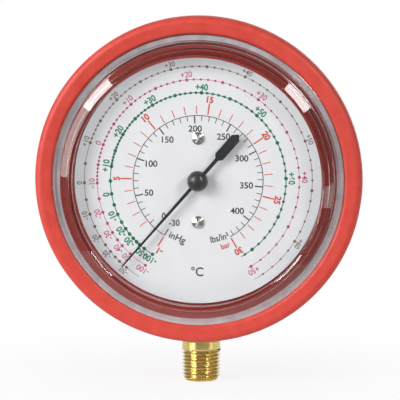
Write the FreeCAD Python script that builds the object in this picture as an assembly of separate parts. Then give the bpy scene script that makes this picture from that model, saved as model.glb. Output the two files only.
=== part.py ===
import FreeCAD, Part
import math
import os

# A pressure gauge for refrigerant, with a moulded case, a clear snap-in lens and a brass stem below.
# All sizes are millimetres. +Z is up, the dial faces -Y and +X is to the right of the dial.
# The origin lies on the stem's axis, in the plane where a mating tapered thread is hand tight.
# Places inside the gauge are (x, z) from the dial's centre, and y from the stem's axis.
# Angles are degrees anticlockwise from +X, as seen from the front.

# Stem and socket
stem_r = 5.14
thread_len = 8.4
thread_hand_tight = 4.1
stem_plain_len = 2.3
stem_chamfer = 0.95
stem_end_to_dial = 55.05
wrench_width = 14.0
wrench_top_r = 5.5
wrench_slope = 30.0
stem_bore_r = 1.6
stem_bore_depth = 9.0
passage_r = 0.9
passage_over_screws = 1.5
passage_short_angle = 1.0
head_left = 9.0
head_right = 9.0
head_top = -20.9
head_bottom = -29.5
head_over_tube = 1.4
tube_in_head = 6.0

# Restrictor screw in the stem's mouth
restrictor_depth = 1.2
restrictor_len = 3.2
orifice_r = 0.3
restrictor_slot = 0.6

# Dial
dial_forward = 11.4
dial_in = 5.7
dial_thick = 0.5
dial_hole_r = 2.2
dial_screw_up = 11.1
dial_screw_head_r = 1.68
dial_screw_head_h = 1.0
dial_screw_shank_r = 0.8
dial_screw_len = 3.0
dial_screw_slot = 0.38
dial_screw_slot_angle = 60.0
dial_post_r = 1.9

# Case, measured outward from the lens's seat
case_side = 0.95
case_wall = 2.9
case_draft = 0.8
case_back = 12.0
back_wall = 2.5
back_round = 2.4
rim_stand = 3.7
rim_front = -12.9
rim_widest = -11.2
rim_land = 3.4
rim_under = 1.0
rim_back = -5.2
rim_crown_in = 1.7
rim_crown = 0.7071
lip_drop = 0.15
lip_round = 0.9
ledge_deep = 0.9
ledge_thick = 0.9
ledge_clear = 0.4
pad_half = 7.0
pad_up = 7.4
opening_gap = 1.1
opening_top = 1.7

# Lens
lens_front = -18.5
window_thick = 2.2
window_round = 0.9
bevel_width = 2.6
bevel_slope = 30.0
shoulder_round = 0.6
flange_front = -13.9
flange_width = 2.3
flange_round = 0.9
lens_r = 38.3
lens_clear = 0.15
lens_back = -10.9
skirt_wall = 5.0
skirt_draft = 0.4
pocket_round = 0.3
bead_h = 0.25
bead_half = 0.35
bead_y = -11.7
gasket_thick = 0.9
gasket_width = 1.9

# Movement plates, pillars and their screws
plate_thick = 1.2
plate_edge = 2.9
front_plate_gap = 3.3
plate_space = 6.0
pillar_left = (-11.5, -2.0)
pillar_right = (14.5, -3.5)
pillar_low = (-2.5, -16.8)
pillar_r = 1.6
rivet_r = 0.9
rivet_over = 0.3
plate_screw_r = 0.7
plate_screw_len = 3.4
plate_screw_head_r = 1.4
plate_screw_head_h = 0.9
plate_slot_angle = 25.0
plate_slot_step = 50.0
plate_hole_clear = 0.1
mesh_window_r = 1.7
mesh_window = ((2.6, -5.6), (5.0, -10.6))
foot_x = (2.6, 6.8)
foot_z = -25.0
foot_edge = 1.8
foot_gap = 0.2
foot_screw_r = 0.9
foot_screw_len = 4.6
foot_screw_head_r = 1.5
foot_screw_head_h = 1.1
foot_slot_angle = 70.0
screw_slot = 0.4
screw_slot_depth = 0.4
head_bevel = 0.2

# Gears
module = 0.28
pinion_teeth = 12
wheel_teeth = 120
pressure_angle = 20.0
backlash = 0.06
root_depth = 1.25
pinion_top = 1.0
sector_top = 0.75
spare_teeth = 2
sector_thick = 1.2
sector_back = -2.4
sector_side = 1.3
sector_hub_r = 2.2
sector_hub_len = 3.4
bush_r = 1.8
sector_rim = 2.2
sector_spoke = 1.5
window_hub_r = 6.5
pinion_over = 0.5
mesh_angle = 116.0

# Shafts
arbor_r = 0.75
front_pivot_r = 0.6
back_pivot_r = 0.5
pivot_clear = 0.03
shaft_end_play = 0.1
pivot_over = 0.4

# Travel from the rest at 0 bar: the scale runs from full vacuum to 30 bar
pointer_down = 10.2
pointer_up = 289.0

# Hairspring, its collet and its stud
spring_width = 0.8
spring_front = -5.7
spring_thick = 0.12
spring_pitch = 0.75
spring_start_r = 1.65
spring_turns = 5
spring_gap = 0.03
collet_over = 0.25
stud_r = 0.5

# Link between the sector's tail and the tube's end piece
tail_arm = 4.5
tail_angle = -52.86
tail_eye_r = 1.7
link_thick = 0.8
link_eye_r = 1.6
link_half_width = 0.9
link_gap = 0.2
pin_r = 0.8
pin_clear = 0.04
open_pin_clear = 0.12
pin_head_r = 1.3
pin_head_h = 0.6
pin_head_gap = 0.1

# Bourdon tube and its end piece
tube_r = 25.0
tube_width = 9.0
tube_depth = 2.6
tube_wall = 0.35
tube_start = 249.0
tube_end_angle = -25.0
end_wall = 0.8
end_over_tube = 3.0
end_beyond_tube = 5.0
lug_pin = (17.6, -12.3)
lug_root_angle = -28.0
lug_root_r = 24.4
lug_half_width = 1.9
lug_thick = 1.4

# Pointer, set at 0 bar
pointer_angle = 228.8
pointer_gap = 1.5
pointer_thick = 0.3
needle_len = 30.4
needle_half_width = 0.46
needle_tip_half_width = 0.2
needle_tip_len = 0.1
tail_neck_half_width = 0.5
leaf_start = 7.6
leaf_shoulder = 8.6
leaf_end = 16.4
leaf_half_width = 1.32
boss_r = 2.5
hub_r = 2.72
hub_h = 2.6
hub_edge = 0.5
hub_back_r = 1.3
hub_back_h = 0.8
hub_neck_r = 1.0
hub_arbor_depth = 0.8
dome_flat_r = 0.2

# Fasteners and seals of the case
case_screw_x = 4.4
case_screw_in = 6.4
case_screw_r = 1.5
case_screw_clear = 0.15
case_screw_head_r = 2.6
case_screw_head_h = 1.7
case_screw_recess = 1.9
case_screw_in_block = 4.0
cross_slot = 0.6
cross_half_len = 1.5
cross_depth = 0.9
plug_z = 24.0
plug_r = 4.6
plug_head_r = 6.2
plug_head_h = 1.0
plug_recess = 1.2
plug_lip_r = 5.3
plug_lip_h = 0.9
plug_lip_taper = 0.3
recess_clear = 0.25
grommet_over = 0.4

# Places that follow from the sizes above
dial_height = stem_end_to_dial - thread_hand_tight
stem_end = -stem_end_to_dial
block_foot = stem_end + thread_len + stem_plain_len
dial_front = -dial_forward
dial_back = dial_front + dial_thick
front_plate_front = dial_back + front_plate_gap
front_plate_back = front_plate_front + plate_thick
back_plate_front = front_plate_back + plate_space
back_plate_back = back_plate_front + plate_thick
pinion_r = module * pinion_teeth / 2
wheel_r = module * wheel_teeth / 2
gear_ratio = wheel_teeth / pinion_teeth
sector_front = sector_back - sector_thick
shaft_distance = pinion_r + wheel_r
pivot_angle = math.radians(mesh_angle - 180)
sector_x = shaft_distance * math.cos(pivot_angle)
sector_z = shaft_distance * math.sin(pivot_angle)
link_front = sector_back + link_gap
link_back = link_front + link_thick
lug_front = link_back + link_gap
lug_back = lug_front + lug_thick
pointer_back = dial_front - pointer_gap
pointer_front = pointer_back - pointer_thick
dial_r = lens_r - dial_in
seat_r = lens_r + lens_clear
seat_y = lens_back + gasket_thick
case_r = seat_r + case_side
case_inner_r = case_r - case_wall
ledge_front = seat_y + ledge_deep
ledge_back = ledge_front + ledge_thick
ledge_r = dial_r + ledge_clear
case_inner_back = case_back - back_wall
rim_r = case_r + rim_stand
rim_crown_r = rim_r - rim_crown_in
case_screw_z = case_screw_in - case_r
block_half = wrench_width / 2
head_half = tube_width / 2 + head_over_tube
tail_pin = (
    sector_x + tail_arm * math.cos(math.radians(tail_angle)),
    sector_z + tail_arm * math.sin(math.radians(tail_angle)),
)


def place(x, y, z):
    """A point from the dial's centre line, with y from the stem's axis."""
    return FreeCAD.Vector(x, y, dial_height + z)


def polar(radius, angle, y):
    """A point at a radius and an angle in degrees about the dial's centre."""
    turn = math.radians(angle)
    return place(radius * math.cos(turn), y, radius * math.sin(turn))


def rod(radius, front, back, x=0.0, z=0.0):
    """A round rod along Y."""
    return Part.makeCylinder(radius, back - front, place(x, front, z), FreeCAD.Vector(0, 1, 0))


def block(x0, x1, y0, y1, z0, z1):
    """A square block between two corners."""
    return Part.makeBox(x1 - x0, y1 - y0, z1 - z0, place(x0, y0, z0))


def edges_through(start, steps):
    """Lines and arcs from a start point; a step of two points is an arc through the first to the second."""
    edges = []
    here = start
    for step in steps:
        if len(step) == 1:
            edges.append(Part.LineSegment(here, step[0]).toShape())
        else:
            edges.append(Part.Arc(here, step[0], step[1]).toShape())
        here = step[-1]
    if here.distanceToPoint(start) > 1e-6:
        edges.append(Part.LineSegment(here, start).toShape())
    return edges


def turned(start, steps, x=0.0, z=0.0):
    """A solid turned about a line along Y; corners are (radius, y), and four numbers make an arc."""
    def corner(radius, y):
        return place(x + radius, y, z)

    path = []
    for step in steps:
        if len(step) == 2:
            path.append((corner(*step),))
        else:
            path.append((corner(*step[:2]), corner(*step[2:])))
    face = Part.Face(Part.Wire(edges_through(corner(*start), path)))
    return face.revolve(place(x, 0, z), FreeCAD.Vector(0, 1, 0), 360)


def bend(start, radius, first, last):
    """An arc step for a turned profile, from one slope to another in degrees off the dial's plane."""
    def at(slope):
        before, here = math.radians(first), math.radians(slope)
        out = radius * (math.sin(here) - math.sin(before))
        return start[0] + out, start[1] + radius * (math.cos(before) - math.cos(here))

    return at((first + last) / 2) + at(last)


def dome(radius, edge, front):
    """An arc step from a dome's edge to the small flat on its top."""
    rise = edge - front
    sphere_r = (radius ** 2 + rise ** 2) / (2 * rise)
    half = math.asin(radius / sphere_r) / 2
    return sphere_r * math.sin(half), front + sphere_r * (1 - math.cos(half)), dome_flat_r, front


def plate(corners, edge, front, back):
    """A flat plate round corners given anticlockwise, reaching edge past each of them."""
    count = len(corners)
    normals = []
    for i, (x, z) in enumerate(corners):
        nx, nz = corners[(i + 1) % count]
        normals.append(math.atan2(nz - z, nx - x) - math.pi / 2)

    def offset(i, turn):
        x, z = corners[i]
        return place(x + edge * math.cos(turn), front, z + edge * math.sin(turn))

    steps = []
    for i in range(count):
        before = normals[i - 1]
        sweep = (normals[i] - before) % (2 * math.pi)
        if i:
            steps.append((offset(i, before),))
        steps.append((offset(i, before + sweep / 2), offset(i, before + sweep)))
    wire = Part.Wire(edges_through(offset(0, normals[-1]), steps))
    return Part.Face(wire).extrude(FreeCAD.Vector(0, back - front, 0))


def slotted_head(radius, height, slot, angle, face_y, x, z):
    """A flat screw head that stands forward of face_y, with a bevelled edge and a slot across it."""
    front = face_y - height
    bevel = [(radius, front + head_bevel), (radius - head_bevel, front)]
    head = turned((0, face_y), [(radius, face_y)] + bevel + [(0, front)], x, z)
    depth = screw_slot_depth
    cut = Part.makeBox(2 * (radius + 1), depth + 1, slot)
    cut.translate(FreeCAD.Vector(-radius - 1, -1, -slot / 2))
    cut.rotate(FreeCAD.Vector(0, 0, 0), FreeCAD.Vector(0, -1, 0), angle)
    cut.translate(place(x, front + depth, z))
    return head.cut(cut)


def tube_section(grow, wall_in):
    """The oval section of the Bourdon tube at angle 0, grown outward, or taken in by its wall."""
    half_depth = tube_depth / 2 + grow - wall_in
    half_width = tube_width / 2 + grow - wall_in - half_depth
    low, high = tube_r - half_depth, tube_r + half_depth
    path = [
        (place(high, half_width, 0),),
        (place(tube_r, half_width + half_depth, 0), place(low, half_width, 0)),
        (place(low, -half_width, 0),),
        (place(tube_r, -half_width - half_depth, 0), place(high, -half_width, 0)),
    ]
    return Part.Face(Part.Wire(edges_through(place(high, -half_width, 0), path)))


def swept(section, start, end):
    """A section at angle 0 swept about the dial's centre from one angle to another."""
    axis = FreeCAD.Vector(0, -1, 0)
    section.rotate(place(0, 0, 0), axis, start)
    return section.revolve(place(0, 0, 0), axis, end - start)


def make_tube():
    """The Bourdon tube: an oval bronze tube bent to most of a circle."""
    start = tube_start + tube_in_head
    outside = swept(tube_section(0, 0), tube_end_angle, start)
    return outside.cut(swept(tube_section(0, tube_wall), tube_end_angle, start))


def make_tube_end():
    """The closed piece brazed on the tube's free end, with a lug for the link's pin."""
    cap = swept(
        tube_section(end_wall, 0), tube_end_angle - end_beyond_tube, tube_end_angle + end_over_tube
    )
    root = polar(lug_root_r, lug_root_angle, 0)
    lug = plate([(root.x, root.z - dial_height), lug_pin], lug_half_width, lug_front, lug_back)
    seat = swept(tube_section(0, 0), tube_end_angle, tube_end_angle + end_over_tube + 1)
    return cap.fuse(lug).removeSplitter().cut([seat, rod(pin_r, lug_front, lug_back, *lug_pin)])


def make_tip_pin():
    """The pin in the lug, headed in front of the link."""
    head_back = link_front - pin_head_gap
    head = rod(pin_head_r, head_back - pin_head_h, head_back, *lug_pin)
    return head.fuse(rod(pin_r, head_back, lug_back, *lug_pin)).removeSplitter()


def wrench_block():
    """The square block with flats for a wrench, its lower corners turned off at a slope."""
    square = block(-block_half, block_half, -block_half, block_half, block_foot, head_bottom)
    corner_r = math.hypot(block_half, block_half) + 1
    rise = (corner_r - wrench_top_r) * math.tan(math.radians(wrench_slope))
    up = FreeCAD.Vector(0, 0, 1)
    cone = Part.makeCone(wrench_top_r, corner_r, rise, place(0, 0, block_foot), up)
    top = head_bottom - block_foot - rise
    column = Part.makeCylinder(corner_r, top, place(0, 0, block_foot + rise), up)
    return square.common(cone.fuse(column))


def tapped_holes():
    """Blind holes in the socket for the movement's and the case's screws."""
    holes = []
    for x in foot_x:
        deep = back_plate_back + foot_screw_len - plate_thick
        holes.append(rod(foot_screw_r, back_plate_back, deep, x, foot_z))
    for side in (-1, 1):
        front = block_half - case_screw_in_block
        holes.append(rod(case_screw_r, front, block_half, side * case_screw_x, case_screw_z))
    return holes


def make_socket():
    """The brass socket: threaded stem, wrench block and the head that holds tube and movement."""
    up = FreeCAD.Vector(0, 0, 1)
    straight = thread_len + stem_plain_len - stem_chamfer
    stem = Part.makeCylinder(stem_r, straight, place(0, 0, stem_end + stem_chamfer), up)
    point = Part.makeCone(stem_r - stem_chamfer, stem_r, stem_chamfer, place(0, 0, stem_end), up)
    head = block(-head_left, head_right, -head_half, head_half, head_bottom, head_top)
    body = stem.multiFuse([point, wrench_block(), head]).removeSplitter()
    pocket = block(
        foot_x[0] - foot_edge - foot_gap, head_right + 1, -head_half - 1, back_plate_back,
        head_bottom, head_top + 1,
    )
    bore = Part.makeCylinder(stem_bore_r, stem_bore_depth + 1, place(0, 0, stem_end - 1), up)
    bore_top = place(0, 0, stem_end + stem_bore_depth)
    drill_top = case_screw_z + passage_over_screws
    narrow = Part.makeCylinder(passage_r, drill_top - stem_end - stem_bore_depth, bore_top, up)
    elbow = place(0, 0, drill_top - passage_r)
    mouth = polar(tube_r, tube_start + tube_in_head - passage_short_angle, 0)
    slant = Part.makeCylinder(passage_r, mouth.distanceToPoint(elbow), elbow, mouth - elbow)
    seat = swept(tube_section(0, 0), tube_start - tube_in_head, tube_start + tube_in_head)
    return body.cut([pocket, bore, narrow, slant, seat] + tapped_holes())


def make_restrictor():
    """The brass screw in the stem's mouth whose small hole damps pressure pulses."""
    up = FreeCAD.Vector(0, 0, 1)
    foot = place(0, 0, stem_end + restrictor_depth)
    screw = Part.makeCylinder(stem_bore_r, restrictor_len, foot, up)
    hole = Part.makeCylinder(orifice_r, restrictor_len, foot, up)
    half = restrictor_slot / 2
    low = stem_end + restrictor_depth
    slot = block(-stem_bore_r, stem_bore_r, -half, half, low, low + restrictor_slot)
    return screw.cut([hole, slot])


def case_shell():
    """The moulded cup with its thick front rim and the ledge round the dial, before it is cut."""
    back_r = case_r - case_draft
    corner = back_round * (1 - math.sqrt(0.5))
    rim_mid = (
        rim_crown_r + (rim_r - rim_crown_r) * rim_crown,
        rim_widest + (rim_front - rim_widest) * rim_crown,
    )
    lip_y = rim_front + lip_drop
    lip_in = lip_round * (1 - math.sqrt(0.5))
    outside = [
        (back_r - back_round, case_back),
        (back_r - corner, case_back - corner, back_r, case_back - back_round),
        (case_r, rim_back),
        (rim_r - rim_under, rim_widest + rim_land + rim_under),
        (rim_r, rim_widest + rim_land),
        (rim_r, rim_widest),
        rim_mid + (rim_crown_r, rim_front),
        (seat_r + lip_round, lip_y),
        (seat_r + lip_in, lip_y + lip_in, seat_r, lip_y + lip_round),
        (seat_r, bead_y - bead_half),
        (seat_r + bead_h, bead_y),
        (seat_r, bead_y + bead_half),
        (seat_r, seat_y),
        (case_inner_r, seat_y),
        (case_inner_r, ledge_front),
        (ledge_r, ledge_front),
        (ledge_r, ledge_back),
        (case_inner_r, ledge_back),
        (case_inner_r, case_inner_back),
        (0, case_inner_back),
    ]
    return turned((0, case_back), outside)


def make_case():
    """The case with its mounting pad, the way out for the socket and the holes in its back."""
    shell = case_shell()
    pad_low = case_screw_z - pad_up / 2
    pad = block(-pad_half, pad_half, block_half, case_back - 1, pad_low, pad_low + pad_up)
    body = shell.fuse(pad).removeSplitter()
    wide = block_half + opening_gap
    out = -case_inner_r + opening_top
    cuts = [block(-wide, wide, -wide, wide, -rim_r - 1, out)]
    for side in (-1, 1):
        x = side * case_screw_x
        cuts.append(rod(case_screw_r + case_screw_clear, block_half - 1, case_back, x, case_screw_z))
        recess_r = case_screw_head_r + recess_clear
        cuts.append(rod(recess_r, case_back - case_screw_recess, case_back + 1, x, case_screw_z))
    cuts.append(rod(plug_r, case_inner_back - 1, case_back, 0, plug_z))
    cuts.append(rod(plug_head_r + recess_clear, case_back - plug_recess, case_back + 1, 0, plug_z))
    return body.cut(cuts)


def make_case_screws():
    """Two cross-slotted screws from the back of the case into the socket."""
    screws = []
    seat = case_back - case_screw_recess
    for side in (-1, 1):
        x = side * case_screw_x
        head = rod(case_screw_head_r, seat, seat + case_screw_head_h, x, case_screw_z)
        shank = rod(case_screw_r, block_half - case_screw_in_block, seat, x, case_screw_z)
        half, reach = cross_slot / 2, cross_half_len
        low, high = seat + case_screw_head_h - cross_depth, seat + case_screw_head_h + 1
        across = block(x - reach, x + reach, low, high, case_screw_z - half, case_screw_z + half)
        along = block(x - half, x + half, low, high, case_screw_z - reach, case_screw_z + reach)
        screws.append(head.fuse(shank).removeSplitter().cut([across, along]))
    return Part.makeCompound(screws)


def make_relief_plug():
    """The rubber plug that gives way if the tube bursts."""
    floor = case_back - plug_recess
    inner = case_inner_back
    steps = [
        (plug_head_r, floor + plug_head_h),
        (plug_head_r, floor),
        (plug_r, floor),
        (plug_r, inner),
        (plug_lip_r, inner),
        (plug_r - plug_lip_taper, inner - plug_lip_h),
        (0, inner - plug_lip_h),
    ]
    return turned((0, floor + plug_head_h), steps, 0, plug_z)


def make_grommet():
    """The rubber seal that fills the case's opening round the wrench block."""
    wide = block_half + opening_gap
    top = -case_inner_r + opening_top
    low = -case_r - grommet_over
    seal = block(-wide, wide, -wide, wide, low, top)
    hole = block(-block_half, block_half, -block_half, block_half, low - 1, top + 1)
    return seal.cut(hole)


def make_lens():
    """The clear lens: a raised window with a bevel round it, and a flange that snaps into the rim."""
    slope = math.radians(bevel_slope)
    shoulder_r = lens_r - flange_width
    window_edge = (shoulder_r - bevel_width, lens_front)
    to_bevel = bend(window_edge, window_round, 0, bevel_slope)
    bevel_end_r = shoulder_r - shoulder_round * (1 - math.sin(slope))
    bevel_end = (bevel_end_r, to_bevel[3] + (bevel_end_r - to_bevel[2]) * math.tan(slope))
    flange_edge = (lens_r - flange_round, flange_front)
    skirt_r = lens_r - skirt_wall
    pocket_r = skirt_r - skirt_draft
    pocket_y = lens_front + window_thick
    pocket_in = pocket_round * (1 - math.sqrt(0.5))
    steps = [
        window_edge,
        to_bevel,
        bevel_end,
        bend(bevel_end, shoulder_round, bevel_slope, 90),
        (shoulder_r, flange_front),
        flange_edge,
        bend(flange_edge, flange_round, 0, 90),
        (lens_r, bead_y - bead_half),
        (lens_r + bead_h, bead_y),
        (lens_r, bead_y + bead_half),
        (lens_r, lens_back),
        (skirt_r, lens_back),
        (pocket_r, pocket_y + pocket_round),
        (pocket_r - pocket_in, pocket_y + pocket_in, pocket_r - pocket_round, pocket_y),
        (0, pocket_y),
    ]
    return turned((0, lens_front), steps)


def make_gasket():
    """The flat rubber ring between the lens and the case."""
    return rod(lens_r, lens_back, seat_y).cut(rod(lens_r - gasket_width, lens_back, seat_y))


def make_dial():
    """The dial plate with its centre hole and two screw holes."""
    disc = rod(dial_r, dial_front, dial_back)
    cuts = [rod(dial_hole_r, dial_front, dial_back)]
    for side in (-1, 1):
        cuts.append(rod(dial_screw_shank_r, dial_front, dial_back, 0, side * dial_screw_up))
    return disc.cut(cuts)


def make_dial_screws():
    """Two polished slotted screws that hold the dial to its posts."""
    screws = []
    for side in (-1, 1):
        z = side * dial_screw_up
        head = slotted_head(
            dial_screw_head_r, dial_screw_head_h, dial_screw_slot, dial_screw_slot_angle,
            dial_front, 0, z,
        )
        shank = rod(dial_screw_shank_r, dial_front, dial_front + dial_screw_len, 0, z)
        screws.append(head.fuse(shank).removeSplitter())
    return Part.makeCompound(screws)


def make_dial_posts():
    """Two posts on the front plate that carry the dial."""
    posts = []
    for side in (-1, 1):
        z = side * dial_screw_up
        post = rod(dial_post_r, dial_back, front_plate_front, 0, z)
        posts.append(post.cut(rod(dial_screw_shank_r, dial_back, dial_front + dial_screw_len, 0, z)))
    return Part.makeCompound(posts)


def plate_corners():
    """The corners that both movement plates reach round, anticlockwise."""
    return [pillar_low, (sector_x, sector_z), pillar_right, (0, dial_screw_up), pillar_left]


def pillars_at():
    """The places of the three pillars."""
    return [pillar_left, pillar_right, pillar_low]


def make_front_plate():
    """The front plate of the movement, with a window over the meshing teeth."""
    body = plate(plate_corners(), plate_edge, front_plate_front, front_plate_back)
    deep = (front_plate_front, front_plate_back)
    cuts = [rod(front_pivot_r + pivot_clear, *deep)]
    cuts.append(rod(back_pivot_r + pivot_clear, *deep, sector_x, sector_z))
    cuts.append(plate(mesh_window, mesh_window_r, *deep))
    for spot in pillars_at():
        cuts.append(rod(plate_screw_r + plate_hole_clear, *deep, *spot))
    return body.cut(cuts)


def make_back_plate():
    """The back plate of the movement, with a foot that is screwed to the socket's head."""
    deep = (back_plate_front, back_plate_back)
    body = plate(plate_corners(), plate_edge, *deep)
    foot = [(foot_x[0], foot_z), (foot_x[1], foot_z), (foot_x[1], sector_z), (foot_x[0], sector_z)]
    body = body.fuse(plate(foot, foot_edge, *deep)).removeSplitter()
    cuts = [rod(back_pivot_r + pivot_clear, *deep)]
    cuts.append(rod(back_pivot_r + pivot_clear, *deep, sector_x, sector_z))
    for spot in pillars_at():
        cuts.append(rod(rivet_r, *deep, *spot))
    for x in foot_x:
        cuts.append(rod(foot_screw_r + plate_hole_clear, *deep, x, foot_z))
    return body.cut(cuts)


def make_pillars():
    """Three pillars between the plates, riveted to the back plate and tapped in front."""
    pillars = []
    for spot in pillars_at():
        pillar = rod(pillar_r, front_plate_back, back_plate_front, *spot)
        rivet = rod(rivet_r, back_plate_front, back_plate_back + rivet_over, *spot)
        hole_end = front_plate_front + plate_screw_len
        hole = rod(plate_screw_r, front_plate_back, hole_end, *spot)
        pillars.append(pillar.fuse(rivet).removeSplitter().cut(hole))
    return Part.makeCompound(pillars)


def make_plate_screws():
    """Three slotted screws that hold the front plate to the pillars."""
    screws = []
    for number, (x, z) in enumerate(pillars_at()):
        turn = plate_slot_angle + plate_slot_step * number
        head = slotted_head(
            plate_screw_head_r, plate_screw_head_h, screw_slot, turn, front_plate_front, x, z
        )
        shank = rod(plate_screw_r, front_plate_front, front_plate_front + plate_screw_len, x, z)
        screws.append(head.fuse(shank).removeSplitter())
    return Part.makeCompound(screws)


def make_movement_screws():
    """Two slotted screws that hold the movement's foot to the socket's head."""
    screws = []
    for x in foot_x:
        head = slotted_head(
            foot_screw_head_r, foot_screw_head_h, screw_slot, foot_slot_angle,
            back_plate_front, x, foot_z,
        )
        shank = rod(foot_screw_r, back_plate_front, back_plate_front + foot_screw_len, x, foot_z)
        screws.append(head.fuse(shank).removeSplitter())
    return Part.makeCompound(screws)


def flank_turn(radius, pitch_r, teeth):
    """Half the angle of a tooth at a radius, in radians, from the involute of its base circle."""
    pressure = math.radians(pressure_angle)
    base_r = pitch_r * math.cos(pressure)
    half = math.pi / (2 * teeth) - backlash / (4 * pitch_r)
    start = math.tan(pressure) - pressure
    if radius <= base_r:
        return half + start
    here = math.acos(base_r / radius)
    return half + start - (math.tan(here) - here)


def tooth_steps(teeth, pitch_r, root_r, tip_r, centre, x, z, y):
    """Edges over one tooth, anticlockwise, from its root on one side to its root on the other."""
    def at(radius, turn):
        angle = math.radians(centre) + turn
        return place(x + radius * math.cos(angle), y, z + radius * math.sin(angle))

    base_r = pitch_r * math.cos(math.radians(pressure_angle))
    low_r = max(root_r, base_r)
    mid_r = (low_r + tip_r) / 2
    low, mid, tip = (flank_turn(r, pitch_r, teeth) for r in (low_r, mid_r, tip_r))
    steps = []
    if low_r > root_r:
        steps.append((at(low_r, -low),))
    steps.append((at(mid_r, -mid), at(tip_r, -tip)))
    steps.append((at(tip_r, 0), at(tip_r, tip)))
    steps.append((at(mid_r, mid), at(low_r, low)))
    if low_r > root_r:
        steps.append((at(root_r, low),))
    return at(root_r, -low), steps, at(root_r, math.pi / teeth)


def toothed_edge(teeth, pitch_r, top, first, count, x, z, y):
    """Start point and edges of a run of teeth, with a round root between each two."""
    root_r = pitch_r - root_depth * module
    tip_r = pitch_r + top * module
    start, steps = None, []
    for number in range(count):
        centre = first + number * 360.0 / teeth
        foot, tooth, between = tooth_steps(teeth, pitch_r, root_r, tip_r, centre, x, z, y)
        if start is None:
            start = foot
        else:
            steps.append((gap_middle, foot))
        steps += tooth
        gap_middle = between
    return start, steps, gap_middle


def make_pinion():
    """The pinion on the pointer's arbor, one tooth turned to the sector's pivot."""
    front, back = sector_front - pinion_over, sector_back + pinion_over
    first = mesh_angle - 180
    start, steps, gap = toothed_edge(
        pinion_teeth, pinion_r, pinion_top, first, pinion_teeth, 0, 0, front
    )
    steps.append((gap, start))
    face = Part.Face(Part.Wire(edges_through(start, steps)))
    return face.extrude(FreeCAD.Vector(0, back - front, 0)).cut(rod(arbor_r, front, back))


def sector_teeth():
    """The first tooth's angle and the number of teeth that the pointer's travel needs."""
    pitch = 360.0 / wheel_teeth
    after = math.ceil(pointer_up / gear_ratio / pitch) + spare_teeth
    before = math.ceil(pointer_down / gear_ratio / pitch) + spare_teeth
    return mesh_angle - (after - 0.5) * pitch, after + before


def make_sector():
    """The toothed sector with its spokes, hub and the tail that the link drives."""
    first, count = sector_teeth()
    pitch = 360.0 / wheel_teeth
    start, steps, gap = toothed_edge(
        wheel_teeth, wheel_r, sector_top, first, count, sector_x, sector_z, sector_front
    )
    low = math.radians(first - sector_side * pitch / 2)
    high = math.radians(first + (count - 1 + sector_side / 2) * pitch)

    def at(radius, turn, y=sector_front):
        return place(sector_x + radius * math.cos(turn), y, sector_z + radius * math.sin(turn))

    root_r = wheel_r - root_depth * module
    steps += [(at(root_r, high),), (at(0, 0),), (at(root_r, low),)]
    wire = Part.Wire(edges_through(start, steps))
    forward = FreeCAD.Vector(0, sector_thick, 0)
    blade = Part.Face(wire).extrude(forward)
    rim_r = root_r - sector_rim
    inset_out, inset_in = sector_spoke / rim_r, sector_spoke / window_hub_r
    middle = (low + high) / 2
    window_start = at(rim_r, low + inset_out)
    window = [
        (at(rim_r, middle), at(rim_r, high - inset_out)),
        (at(window_hub_r, high - inset_in),),
        (at(window_hub_r, middle), at(window_hub_r, low + inset_in)),
    ]
    opening = Part.Face(Part.Wire(edges_through(window_start, window))).extrude(forward)
    hub = rod(sector_hub_r, sector_front, sector_back, sector_x, sector_z)
    tail = plate([(sector_x, sector_z), tail_pin], tail_eye_r, sector_front, sector_back)
    body = blade.cut(opening).multiFuse([hub, tail]).removeSplitter()
    bore = rod(arbor_r, sector_front, sector_back, sector_x, sector_z)
    return body.cut([bore, rod(pin_r, sector_front, sector_back, *tail_pin)])


def make_sector_bush():
    """The collar pressed on the sector's arbor that keeps the blade square to it."""
    front = sector_front - sector_hub_len + sector_thick
    collar = rod(bush_r, front, sector_front, sector_x, sector_z)
    return collar.cut(rod(arbor_r, front, sector_front, sector_x, sector_z))


def shaft(front_r, back_r, front_end, x, z):
    """A steel arbor between the plates, with a thinner pivot in each of them."""
    shoulder_front = front_plate_back + shaft_end_play
    shoulder_back = back_plate_front - shaft_end_play
    body = rod(arbor_r, shoulder_front, shoulder_back, x, z)
    front = rod(front_r, front_end, shoulder_front, x, z)
    back = rod(back_r, shoulder_back, back_plate_back + pivot_over, x, z)
    return body.multiFuse([front, back]).removeSplitter()


def make_pinion_arbor():
    """The arbor that carries pinion, hairspring collet and pointer."""
    return shaft(front_pivot_r, back_pivot_r, pointer_front - hub_arbor_depth, 0, 0)


def make_sector_arbor():
    """The arbor that the sector turns on."""
    front_end = front_plate_front - pivot_over
    return shaft(back_pivot_r, back_pivot_r, front_end, sector_x, sector_z)


def make_collet():
    """The brass collet that holds the hairspring's inner end."""
    front, back = spring_front - collet_over, spring_front + spring_width + collet_over
    radius = spring_start_r - spring_thick / 2 - spring_gap
    return rod(radius, front, back).cut(rod(arbor_r, front, back))


def spring_edge(offset):
    """One side of the spiral strip: half circles about two centres, each larger than the last."""
    half_pitch = spring_pitch / 2
    points = []
    for number in range(2 * spring_turns):
        side = 1 if number % 2 == 0 else -1
        centre = 0 if number % 2 == 0 else half_pitch
        radius = spring_start_r + number * half_pitch + offset
        start = place(centre + side * radius, spring_front, 0)
        middle = place(centre, spring_front, side * radius)
        end = place(centre - side * radius, spring_front, 0)
        points.append((start, middle, end))
    return points


def make_hairspring():
    """The flat spiral spring that takes up the backlash."""
    inner, outer = spring_edge(-spring_thick / 2), spring_edge(spring_thick / 2)
    edges = [Part.Arc(*arc).toShape() for arc in inner]
    edges.append(Part.LineSegment(inner[-1][2], outer[-1][2]).toShape())
    edges += [Part.Arc(*arc).toShape() for arc in outer]
    edges.append(Part.LineSegment(outer[0][0], inner[0][0]).toShape())
    wire = Part.Wire(Part.sortEdges(edges)[0])
    return Part.Face(wire).extrude(FreeCAD.Vector(0, spring_width, 0))


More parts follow.
